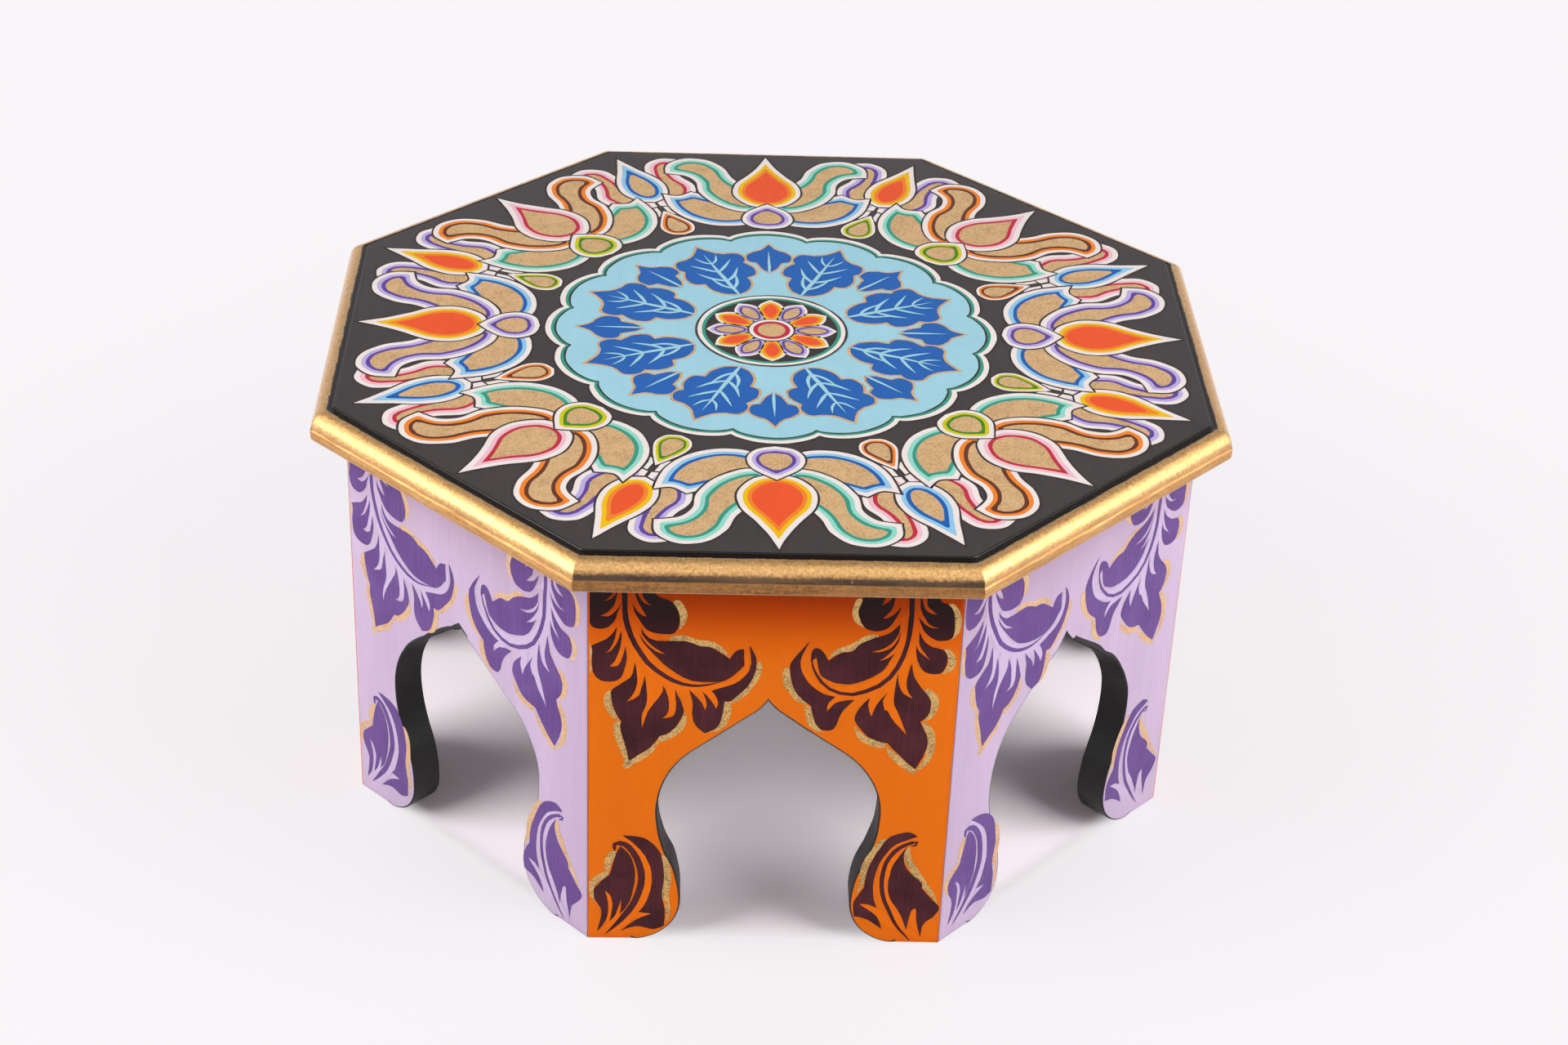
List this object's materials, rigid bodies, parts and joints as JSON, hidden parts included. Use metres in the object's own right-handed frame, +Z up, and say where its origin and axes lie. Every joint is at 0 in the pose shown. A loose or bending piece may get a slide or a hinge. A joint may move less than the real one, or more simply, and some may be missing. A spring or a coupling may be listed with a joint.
{
  "type": "octagonal stool",
  "caption": "Low octagonal stool with a moulded, gilded and painted top on mitred sides with pointed arches and club feet.",
  "frame": {"origin": "on the floor, under the middle of the top", "axes": "+Z up; -Y is the side that faces the viewer; +X to the right, seen from the front; each of the eight sides faces a multiple of 45 degrees"},
  "size_m": [0.491, 0.491, 0.25],
  "materials": {
    "painted_top": "gloss paint on the field and gold leaf on the moulded edge",
    "orange_side": "gloss orange paint outside, satin black on the cut edges and inside",
    "lilac_side": "satin lilac paint outside, satin black on the cut edges and inside",
    "inner_timber": "sawn softwood, brushed over with satin black",
    "screw_steel": "plain zinc-plated steel"
  },
  "bodies": {
    "root": {"top_board": "painted_top", "side_front": "orange_side", "cleat_front": "inner_timber", "corner_block_1": "inner_timber", "side_front_right": "lilac_side", "cleat_front_right": "inner_timber", "corner_block_2": "inner_timber", "side_right": "orange_side", "cleat_right": "inner_timber", "corner_block_3": "inner_timber", "side_back_right": "lilac_side", "cleat_back_right": "inner_timber", "corner_block_4": "inner_timber", "side_back": "orange_side", "cleat_back": "inner_timber", "corner_block_5": "inner_timber", "side_back_left": "lilac_side", "cleat_back_left": "inner_timber", "corner_block_6": "inner_timber", "side_left": "orange_side", "cleat_left": "inner_timber", "corner_block_7": "inner_timber", "side_front_left": "lilac_side", "cleat_front_left": "inner_timber", "corner_block_8": "inner_timber", "cleat_screws": "screw_steel"}
  },
  "joints": []
}
